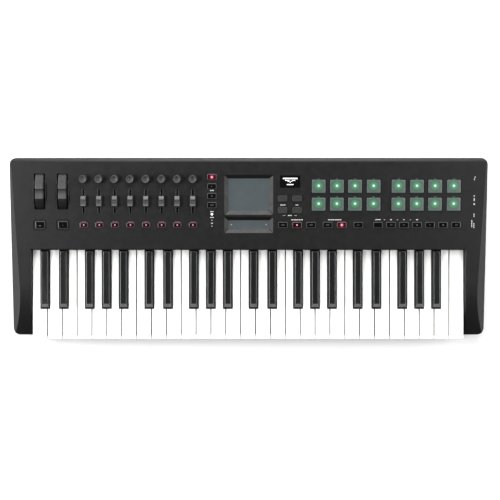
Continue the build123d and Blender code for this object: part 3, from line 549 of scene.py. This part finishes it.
CAD_LOOKS = {
    "case_grey": case_grey, "case_black": case_black, "steel": steel, "foot_rubber": rubber,
    "frame_plastic": frame_black, "felt": felt, "circuit_board": circuit, "contact_rubber": contact,
    "part_black": part_black, "window_gloss": window_gloss, "touch_surface": touch_surface,
    "socket_metal": steel, "socket_black": part_black, "wheel_grey": wheel_grey, "knob_grey": knob_grey,
    "fader_grey": fader_grey, "key_white": key_white, "key_black": key_black, "button_grey": button_rim,
    "pad_silicone": button_plain,
}
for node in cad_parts.values():
    for index, old in enumerate(node.data.materials):
        node.data.materials[index] = CAD_LOOKS[old.name]


# ------------------------------------------------------------------ wheels
NOTCH = -1.8  # degrees round the rim from its top, positive to the front
THUMB_END = 23.4
THUMB_DEPTH = 3.4
# From the thumb rest's ridge round to this angle, the rim takes the darker rubber, which is painted shade.
SHADED_FRONT_END = 2.6  # radians round the rim
WALL_RISE = 3.4  # how far the walls beside a wheel stand above the panel
WALL_REACH = 18.5
wheel_angles = [a for a in range(-180, 180, 4) if not -6 < a < 32]
wheel_angles += [-6, -3.5, NOTCH, NOTCH + 0.4, 1, 3, 6, 9, 12, 15, 18, 20.5, 22.4, THUMB_END, 24.6, 26, 29]
wheel_angles = [radians(a) for a in sorted(wheel_angles)]


def wheel_rim(r, h, angle):
    """Drops the rim into the thumb rest between the notch and the ridge in front of it."""
    turn = angle * 180 / pi
    if r < 20 or not NOTCH < turn < THUMB_END:
        return r
    along = (turn - NOTCH) / (THUMB_END - NOTCH)
    return r - THUMB_DEPTH * (1 - along**2.2)


def side_wall(side, flank=False):
    """Wall beside a wheel, highest at its middle; the flank is its black outer skirt, partly the wall's own
    black plastic and partly painted shadow spread on the panel beside it.
    """
    steps = 16
    inner = WHEEL_SLOT[0] / 2 + 0.1
    points, faces = [], []
    for step in range(steps + 1):
        share = step / steps * 2 - 1
        swell = max(0.0, 1 - share * share) ** 0.7
        height = 0.2 + WALL_RISE * swell
        edge = ((0, -0.3), (0, height * 0.6), (0.8 * swell, height), (0.2 + 0.8 * swell, height),
                (0.4 + 0.8 * swell, -0.3))
        skirt = ((0.3 + 0.8 * swell, -0.3), (0.22 + 0.8 * swell, height * 0.93),
                 (0.6 + 1.5 * swell, height * 0.3), (0.8 + 2.6 * swell, 0.06), (0.8 + 2.6 * swell, -0.3))
        for out, up in skirt if flank else edge:
            points.append((side * (inner + out), share * WALL_REACH - 1.5, up))
    for step in range(steps):
        for i in range(5):
            j = (i + 1) % 5
            quad = (step * 5 + i, step * 5 + j, step * 5 + 5 + j, step * 5 + 5 + i)
            faces.append(quad if side < 0 else quad[::-1])
    ends = (tuple(range(5)), tuple(range(steps * 5, steps * 5 + 5)))
    faces.append(ends[0][::-1] if side < 0 else ends[0])
    faces.append(ends[1] if side < 0 else ends[1][::-1])
    return points, faces


for name in ("pitch_wheel", "mod_wheel"):
    low, high = box_mm(name)
    middle = (low + high) / 2
    reach = (high.y - low.y) / 2
    axis_z = low.z + reach
    half = WHEEL_WIDTH / 2
    axle = (high.x - low.x) / 2
    section = [(2.5, -axle), (2.5, -half), (8, -half), (reach - 1.5, -half)]
    section += [(reach - 0.45, -half + 0.45), (reach, -half + 1.3)]
    ribs = 8
    flat = 2 * (half - 1.3)
    for rib in range(ribs):
        left = -half + 1.3 + flat * rib / ribs
        section += [(reach, left + 0.15), (reach, left + flat / ribs * 0.7)]
        section += [(reach - 0.22, left + flat / ribs * 0.85)]
    section += [(reach, half - 1.3), (reach - 0.45, half - 0.45), (reach - 1.5, half)]
    section += [(8, half), (2.5, half), (2.5, axle)]
    place = Matrix(((0, 0, 1, middle.x), (0, -1, 0, middle.y), (1, 0, 0, axis_z), (0, 0, 0, 1)))
    wheel = Piece(f"{name}_detail")
    points, faces = turned(section, wheel_angles, wheel_rim)
    thumb_from, thumb_to = radians(NOTCH) - 0.01, radians(THUMB_END) - 0.01
    smooth, thumb, shaded_front = faces[-2:], [], []
    for face in faces[:-2]:
        angle = wheel_angles[face[0] % len(wheel_angles)]
        if thumb_from < angle < thumb_to:
            thumb.append(face)
        # Faces from the ridge round the front get the painted shade.
        elif thumb_to < angle < SHADED_FRONT_END:
            shaded_front.append(face)
        else:
            smooth.append(face)
    wheel.add_faces(points, ((smooth, wheel_grey), (thumb, wheel_thumb), (shaded_front, wheel_front_shaded)), place)
    wheel.make(name, replaces=[name])

    # Bezel round the slot, with side walls that rise along the wheel.
    slot = PANEL_INVERSE @ Vector((middle.x, middle.y, axis_z))
    here = PANEL @ Matrix.Translation((slot.x, slot.y, 0))
    bezel = Piece(f"{name}_bezel")
    ring = frame_ring(WHEEL_SLOT[0] + 1.2, WHEEL_SLOT[1] + 1.2, 2.6, 0.5, -0.3, 0.2, -2.0)
    bezel.add(ring, part_black, here)
    for side in (-1, 1):
        # Each wall has a top edge with a painted highlight, and a black skirt that also stands in for the
        # shadow beside it.
        bezel.add(side_wall(side), wall_edge_highlight, here)
        bezel.add(side_wall(side, flank=True), part_black, here)
    bezel.make("root")

# ------------------------------------------------------------------ knobs
FLUTES = 24
knob_angles = [2 * pi * i / (FLUTES * 4) for i in range(FLUTES * 4)]


def fluted(r, h, angle):
    """Shallow flutes round the knob's side, none on its top."""
    return r - 0.16 * max(0.0, cos(angle * FLUTES)) if 1.6 < h < 11.4 and r > 5.5 else r


for number in range(1, 9):
    name = f"knob_{number}"
    low, high = panel_box(name)
    size = (high.x - low.x) / 2
    here = middle_on_panel(name)
    profile = [(3.1, low.z), (size, low.z), (size, low.z + 0.6), (size - 0.12, 1.8)]
    profile += [(size - 0.6, high.z - 1.4), (size - 0.72, high.z - 0.6), (size - 0.9, high.z - 0.2)]
    profile += [(size - 1.2, high.z), (size - 1.5, high.z - 0.02), (size - 2.2, high.z - 0.3)]
    profile += [(size - 3.2, high.z - 0.5), (1.6, high.z - 0.62), (0.4, high.z - 0.65)]
    knob = Piece(f"{name}_detail")
    knob.add(turned(profile, knob_angles, fluted), knob_grey, here)
    pointer = here @ Matrix.Translation((0, size * 0.5, 0))
    knob.add(block(1.5, size * 0.62, 0.6, high.z - 0.9, high.z - 0.15, 0.3), part_black, pointer)
    knob.make(name, replaces=[name])

# ------------------------------------------------------------------ faders
CAP_PROFILE = (  # share of the cap's length from its rear edge, height below the top
    (0.0, 9.0), (0.004, 4.6), (0.03, 3.4), (0.07, 2.8), (0.29, 0.15), (0.315, 0.05), (0.34, 1.9),
    (0.355, 2.4), (0.41, 2.4), (0.425, 1.45), (0.47, 1.4), (0.485, 1.7), (0.52, 1.7), (0.535, 1.4),
    (0.59, 1.4), (0.605, 1.75),
    (0.655, 1.75), (0.67, 1.4), (0.72, 1.4), (0.86, 0.4), (0.885, 0.5), (0.90, 1.6), (0.985, 5.0), (1.0, 9.0),
)
for number in range(1, 9):
    name = f"fader_{number}"
    low, high = panel_box(name)
    here = middle_on_panel(name)
    length = high.y - low.y
    half = (high.x - low.x) / 2
    points, faces = [], []
    for share, drop in CAP_PROFILE:
        y = length / 2 - share * length
        top = high.z - drop
        slim = 0.07 * max(0.0, top - 1)
        for x, z in ((-half, 1.0), (-half + slim, top - 0.35), (-half + slim + 0.4, top),
                     (half - slim - 0.4, top), (half - slim, top - 0.35), (half, 1.0)):
            points.append((x, y, max(z, 1.0)))
    for step in range(len(CAP_PROFILE) - 1):
        for i in range(6):
            j = (i + 1) % 6
            faces.append((step * 6 + i, step * 6 + j, step * 6 + 6 + j, step * 6 + 6 + i))
    faces.append(tuple(reversed(range(6))))
    faces.append(tuple(range(len(points) - 6, len(points))))
    fader = Piece(f"{name}_detail")
    fader.add((points, faces), fader_grey, here)
    fader.add(block(1.6, 5.0, 0.2, low.z, 1.6, 0.1), part_black, here)
    fader.make(name, crease=24, replaces=[name])

slots = Piece("fader_slot_rims")
for number in range(1, 9):
    here = middle_on_panel(f"fader_{number}")
    ring = frame_ring(FADER_SLOT[0] + 2.4, FADER_SLOT[1] + 2.4, 2.0, 0.7, -0.2, 0.14, -0.9)
    slots.add(ring, slot_bevel, here)
    slots.add(block(FADER_SLOT[0] - 0.2, FADER_SLOT[1] - 0.2, 1.0, -2.4, -1.9, 0.1), slot_dark, here)
slots.make("root")


# ------------------------------------------------------------------ buttons
def arrow(size, way):
    """Small triangle that points right (1) or left (-1)."""
    points = [(-way * size * 0.8, -size), (way * size * 0.9, 0), (-way * size * 0.8, size)]
    return points if way > 0 else points[::-1]


ICONS = {
    "dash": [(rounded(3.6, 0.9, 0.2), 0, -1.2)],
    "speck": [(disc(0.5), 0, -0.4)],
    "dot": [(disc(0.95), 0, 0)],
    "big_dot": [(disc(1.25), 0, 0)],
    "play": [(arrow(1.0, 1), 0, 0)],
    "back": [(arrow(0.95, -1), -0.9, 0), (arrow(0.95, -1), 0.9, 0)],
    "forward": [(arrow(0.95, 1), -0.9, 0), (arrow(0.95, 1), 0.9, 0)],
    "stop": [(rounded(2.2, 2.0, 0.2), 0, 0)],
    "lines": [(rounded(5.6, 0.5, 0.1), 0, 0.75), (rounded(5.0, 0.5, 0.1), 0, -0.6)],
    "loop": [(rounded(3.4, 0.45, 0.1), 0, 0.9), (rounded(3.4, 0.45, 0.1), 0, -0.9),
             (rounded(0.45, 1.6, 0.1), 1.6, 0)],
    "curl": [(rounded(3.2, 0.5, 0.2), 0.2, 0.2), (disc(0.55), -1.3, -0.6)],
}
# What each cap of a cluster shows, left to right and front to rear: (kind of window, icon).
CLUSTERS = {
    "octave_buttons": [("dark", "dash"), ("dark", "speck")],
    "channel_buttons": [("lit", None)] * 8,
    "mode_buttons": [("dark", "lines"), ("dark", "dot"), ("dark", "play"), ("bright", None)],
    "page_buttons": [("none", None), ("none", "speck"), ("none", None), ("none", "speck")],
    "function_buttons": [("dark", "lines"), ("lit", None), ("dark", "lines"), ("dark", "lines"),
                         ("bright", None), ("dark", "curl")],
    "transport_buttons": [("dark", None), ("dark", "back"), ("dark", "forward"), ("dark", "stop"),
                          ("dark", "play"), ("dark", "big_dot"), ("dark", "loop")],
}
WINDOWS = {"dark": window_gloss, "lit": window_lit, "bright": window_bright}


def web_under(piece, node, look):
    """The thin web under the panel that joins the caps of a cluster, as the CAD node has it."""
    low, high = panel_box(node)
    place = PANEL @ Matrix.Translation(((low.x + high.x) / 2, (low.y + high.y) / 2, 0))
    piece.add(block(high.x - low.x, high.y - low.y, 0.8, CAP_WEB - WEB_THICK, CAP_WEB, 0.1), look, place)


trims = Piece("button_hole_trims")
for node, kinds in CLUSTERS.items():
    cluster = Piece(f"{node}_detail")
    web_under(cluster, node, part_black)
    for (place, width, length, top), (kind, icon) in zip(caps_of(node), kinds):
        glow = (width / 2, length / 2)
        window_w, window_l = width - 1.7, length - 2.0
        window_glow = (window_l / 2, window_l / 2)
        if kind == "none":
            cluster.add(block(width, length, 1.3, CAP_WEB - 0.2, top, 0.45, dish=0.12), button_plain, place)
        else:
            rim = rim_lit if kind in ("lit", "bright") else button_rim
            cluster.add(block(width, length, 1.3, CAP_WEB - 0.2, top, 0.4), rim, place, glow)
            pane = block(window_w, window_l, 0.7, top - 0.6, top + 0.14, 0.12, dish=-0.02)
            cluster.add(pane, WINDOWS[kind], place, window_glow)
        for outline, x, y in ICONS.get(icon, []):
            shift = place @ Matrix.Translation((x, y, top + (0.0 if kind == "none" else 0.14)))
            ink = icon_dark if kind == "none" else legend_dim
            cluster.add(stack([(outline, -0.2), (outline, 0.06)]), ink, shift)
        trims.add(hole_rim(width, length, CAP_GAP, 0.55), part_black, place)
    cluster.make(node, replaces=[node])
# Painted shade: a black ring on the floor of each octave recess, along its edge, stands in for the shadow
# there.
for place, _, _, _ in caps_of("octave_buttons"):
    recess_shade_ring = place @ Matrix.Translation((0, 0, 0.18 - OCTAVE_RECESS[2]))
    trims.add(hole_rim(OCTAVE_RECESS[0] - 1.6, OCTAVE_RECESS[1] - 1.6, 0, 0.7), part_black, recess_shade_ring)
trims.make("root")

# ------------------------------------------------------------------ pads
PAD_LIGHT_Y = 1.1  # how far behind a pad's middle its light sits
pad_guides = Piece("pad_light_guides")
for node in ("pads_bank_1", "pads_bank_2"):
    bank = Piece(f"{node}_detail")
    web_under(bank, node, part_black)
    for place, width, length, top in caps_of(node):
        skin = block(width, length, 1.1, CAP_WEB - 0.2, top, 0.35, dish=-0.1)
        bank.add(skin, pad_lit, place, (width / 2, length / 2), PAD_LIGHT_Y)
        pad_guides.add(hole_rim(width, length, PAD_GAP, 0.9), part_black, place)
        guide = place @ Matrix.Translation((0, length / 2 + PAD_GAP + 0.5, 0))
        pad_guides.add(block(4.2, 0.8, 0.35, -0.4, 0.12, 0.1), green_leak, guide)
    bank.make(node, replaces=[node])
pad_guides.make("root")

channel_guides = Piece("channel_light_guides")
for place, width, length, top in caps_of("channel_buttons"):
    guide = place @ Matrix.Translation((0, length / 2 + 0.95, 0))
    channel_guides.add(block(7.5, 0.7, 0.3, -0.4, 0.1, 0.1), red_leak, guide)
channel_guides.make("root")

# ------------------------------------------------------------------ display, lights and legends
DISPLAY_BARS = ((22.8, 1.7, 0.2, 4.9), (6.6, 1.1, -4.4, 1.9), (4.6, 1.1, 5.6, 1.9), (3.4, 0.7, -2.4, 0.2),
                (3.0, 0.7, 1.9, 0.4), (1.4, 0.9, 0.1, -1.0), (10.4, 1.2, 0.1, -4.6))
screen = Piece("display_picture")
here = middle_on_panel("display_window")
for width, length, x, y in DISPLAY_BARS:
    bar = stack([(rounded(width, length, 0.3), 0), (rounded(width, length, 0.3), 0.04)])
    screen.add(bar, screen_light, here @ Matrix.Translation((x, y, 0)))
screen.make("root")

MODE_X = (box_mm("mode_buttons")[0].x + box_mm("mode_buttons")[1].x) / 2
LED_STEP = 9.4
lights = Piece("indicator_lights")
mode_front = box_mm("mode_buttons")[0].y
for step, look in enumerate((led_white, led_off, led_off)):
    size = 1.7 if look is led_white else 0.9
    here = on_panel(MODE_X, mode_front - 8.5 - LED_STEP * step)
    lights.add(turned([(size, -0.6), (size, 0.1), (size * 0.8, 0.25), (size * 0.3, 0.32)],
                      [2 * pi * i / 20 for i in range(20)]), look, here)
lights.make("root")

page_low, page_high = box_mm("page_buttons")
page_mid = (page_low.x + page_high.x) / 2
row_high = box_mm("transport_buttons")[1]
function_high = box_mm("function_buttons")[1]
transport = [place.translation.x for place, _, _, _ in caps_of("transport_buttons")]
functions = [place.translation.x for place, _, _, _ in caps_of("function_buttons")]
ROW_MARK_Y = row_high.y + 1.6
SIDE_X = cad_high.x / MM - 21.0
usb_y = (box_mm("usb_socket")[0].y + box_mm("usb_socket")[1].y) / 2
dc_y = (box_mm("dc_inlet")[0].y + box_mm("dc_inlet")[1].y) / 2
jack_low, jack_high = box_mm("pedal_jacks")


def ticks(x, y, span, count, height=1.3):
    """A row of small bars, as a label seen from afar, spread over span."""
    step = span / count
    bar = rounded(step - 0.55, height, 0.3)
    return [(bar, x - span / 2 + step * (i + 0.5), y) for i in range(count)]


def ticks_up(x, y, span, count, width=1.3):
    """The same row turned to run away from the player."""
    step = span / count
    bar = rounded(width, step - 0.5, 0.3)
    return [(bar, x, y - span / 2 + step * (i + 0.5)) for i in range(count)]


MARKS = ticks(MODE_X, mode_front + 28.6, 6.6, 2, 1.4)  # outline, x, y of each printed mark
MARKS += ticks(MODE_X, mode_front - 4.4, 5.6, 2) + ticks(MODE_X, mode_front - 13.4, 6.2, 2)
MARKS += ticks(MODE_X, mode_front - 22.6, 3.6, 1)
MARKS += ticks(page_mid - 10.9, page_low.y + 14.2, 8.4, 3) + ticks(page_mid + 11.2, page_low.y + 14.2, 4.6, 2)
MARKS += ticks(page_mid, page_low.y - 2.2, 6.6, 2)
for side in (-1, 1):
    MARKS += ticks(page_mid + 8.9 * side, page_low.y - 2.2, 4.8, 1, 0.5)
MARKS += ticks(functions[1], function_high.y + 1.4, 18.8, 5)
MARKS += ticks((functions[3] + functions[4]) / 2, function_high.y + 1.4, 21.2, 6)
MARKS += ticks(transport[0], ROW_MARK_Y, 9.0, 3) + ticks(transport[1], ROW_MARK_Y, 3.4, 1)
MARKS += [(arrow(1.1, 1), transport[2], ROW_MARK_Y)] + ticks(transport[3], ROW_MARK_Y, 3.8, 1)
for left, right in zip(transport[:3], transport[1:4]):
    MARKS += ticks((left + right) / 2, ROW_MARK_Y, 2.6, 1, 0.6)
MARKS += [(disc(0.95), SIDE_X + 0.9, usb_y + 3.0), (rounded(1.2, 2.6, 0.3), SIDE_X - 0.2, usb_y - 0.4),
          (disc(1.0), SIDE_X, dc_y + 5.6), (rounded(1.5, 4.4, 0.4), SIDE_X, dc_y),
          (disc(1.35), SIDE_X, dc_y - 7.0)]
MARKS += ticks_up(SIDE_X - 3.3, jack_low.y + 16.5, 12.0, 3) + ticks_up(SIDE_X, jack_high.y - 6.5, 6.0, 2)
MARKS += ticks_up(SIDE_X, jack_low.y + 13.5, 8.4, 3)
legends = Piece("printed_legends")
for outline, x, y in MARKS:
    legends.add(stack([(outline, -0.05), (outline, 0.04)]), legend_white, on_panel(x, y))
octaves = [place.translation for place, _, _, _ in caps_of("octave_buttons")]
for x in (-3.2, 3.2):
    outline = rounded(3.2, 0.6, 0.2)
    shell = stack([(outline, -0.05), (outline, 0.04)])
    legends.add(shell, icon_dark, on_panel((octaves[0].x + octaves[1].x) / 2 + x, octaves[0].y + 3.4))
legends.make("root")

dots = Piece("touch_strip_dots")
strip_low, strip_high = box_mm("touch_strip")
strip_mid = (strip_low.x + strip_high.x) / 2
for x in (strip_low.x + 6.6, strip_high.x - 6.4):
    spot = middle_on_panel("touch_strip") @ Matrix.Translation((x - strip_mid, 0, -TOUCH_DEPTH))
    dots.add(stack([(disc(0.7, 12), 0), (disc(0.7, 12), 0.03)]), legend_white, spot)
dots.make("root")

# ------------------------------------------------------------------ sockets
SIDEWAYS = Matrix.Rotation(pi / 2, 4, "Y")
round_steps = [2 * pi * i / 32 for i in range(32)]
sockets = Piece("socket_fittings")
inlet_low, inlet_high = box_mm("dc_inlet")
pin = Matrix.Translation((inlet_high.x - 9.0, dc_y, (inlet_low.z + inlet_high.z) / 2)) @ SIDEWAYS
sockets.add(turned([(0.9, -0.5), (0.9, 6.8), (0.6, 7.4), (0.2, 7.6)], round_steps), brass, pin)
for y in (jack_low.y + 8, jack_high.y - 8):
    mouth = Matrix.Translation((jack_high.x, y, (jack_low.z + jack_high.z) / 2)) @ SIDEWAYS
    collar = [(disc(5.4, 32), -0.6), (disc(5.3, 32), -0.1), (disc(5.0, 32), -0.02), (disc(3.6, 32), -0.02),
              (disc(3.25, 32), -0.4), (disc(3.25, 32), -0.8)]
    sockets.add(stack(collar, ring=True), steel, mouth)
sockets.make("root")

label = Piece("rating_label")
bottom_low = box_mm("bottom_case")[0]
under = Matrix.Translation((150, 40, bottom_low.z)) @ Matrix.Rotation(pi, 4, "X")
label.add(block(78, 36, 2.0, -0.1, 0.12, 0.05), label_paper, under)
for row, width in enumerate((52, 60, 44, 56, 30)):
    outline = rounded(width, 1.5, 0.3)
    shift = under @ Matrix.Translation((-35 + width / 2, 12 - row * 5.2, 0.12))
    label.add(stack([(outline, -0.05), (outline, 0.03)]), icon_dark, shift)
label.make("root")

# ------------------------------------------------------------------ floor, light and camera
FLOOR_REACH = 6  # metres from the middle to each edge
floor_look, _, _, floor_shader = new_look("studio_floor")
floor_shader.inputs["Base Color"].default_value = (0.62, 0.62, 0.62, 1)
floor_shader.inputs["Roughness"].default_value = 0.9
floor_shader.inputs["Emission Color"].default_value = (1, 1, 1, 1)
floor_shader.inputs["Emission Strength"].default_value = 0.15
floor_mesh = bpy.data.meshes.new("studio_floor")
corners = [(x * FLOOR_REACH, y * FLOOR_REACH, -0.0002) for x, y in ((-1, -1), (1, -1), (1, 1), (-1, 1))]
floor_mesh.from_pydata(corners, [], [(0, 1, 2, 3)])
floor_mesh.materials.append(floor_look)
floor = bpy.data.objects.new("studio_floor", floor_mesh)
bpy.context.scene.collection.objects.link(floor)
floor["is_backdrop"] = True

world = bpy.data.worlds.new("studio")
bpy.context.scene.world = world
world.use_nodes = True
world.node_tree.nodes["Background"].inputs["Color"].default_value = (1, 1, 1, 1)
world.node_tree.nodes["Background"].inputs["Strength"].default_value = 0.06

LIGHT_TARGET = Vector((0, 0, 0.06))
LIGHT_REACH = 2.0  # metres from the target to each softbox
SOFTBOXES = [  # name, tilt from the vertical and bearing from +X in degrees, size in metres, watts
    ("rear_high", 30, 90, (1.2, 0.6), 19),
    ("rear_middle", 50, 90, (1.2, 0.6), 27),
    ("rear_low", 70, 90, (1.2, 0.6), 44),
    ("left_high", 36, 180, (0.8, 0.6), 31),
    ("left_low", 70, 180, (0.9, 0.7), 41),
    ("right_high", 36, 0, (0.8, 0.6), 19),
    ("right_low", 70, 0, (0.9, 0.7), 25),
]
for name, tilt, bearing, size, watts in SOFTBOXES:
    across = sin(radians(tilt))
    way = Vector((across * cos(radians(bearing)), across * sin(radians(bearing)), cos(radians(tilt))))
    light = bpy.data.lights.new(f"{name}_softbox", "AREA")
    light.shape = "RECTANGLE"
    light.size, light.size_y = size
    light.energy = watts
    made = bpy.data.objects.new(f"{name}_softbox", light)
    made.location = LIGHT_TARGET + way * LIGHT_REACH
    made.rotation_euler = (-way).to_track_quat("-Z", "Y").to_euler()
    bpy.context.scene.collection.objects.link(made)

camera_data = bpy.data.cameras.new("camera")
camera_data.sensor_width = 36
camera_data.lens = 109.35
camera_data.clip_end = 50
camera = bpy.data.objects.new("camera", camera_data)
camera.location = (0.00205, -0.0019, 2.455)
bpy.context.scene.collection.objects.link(camera)
bpy.context.scene.camera = camera
bpy.context.scene.view_settings.view_transform = "Standard"

low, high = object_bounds()
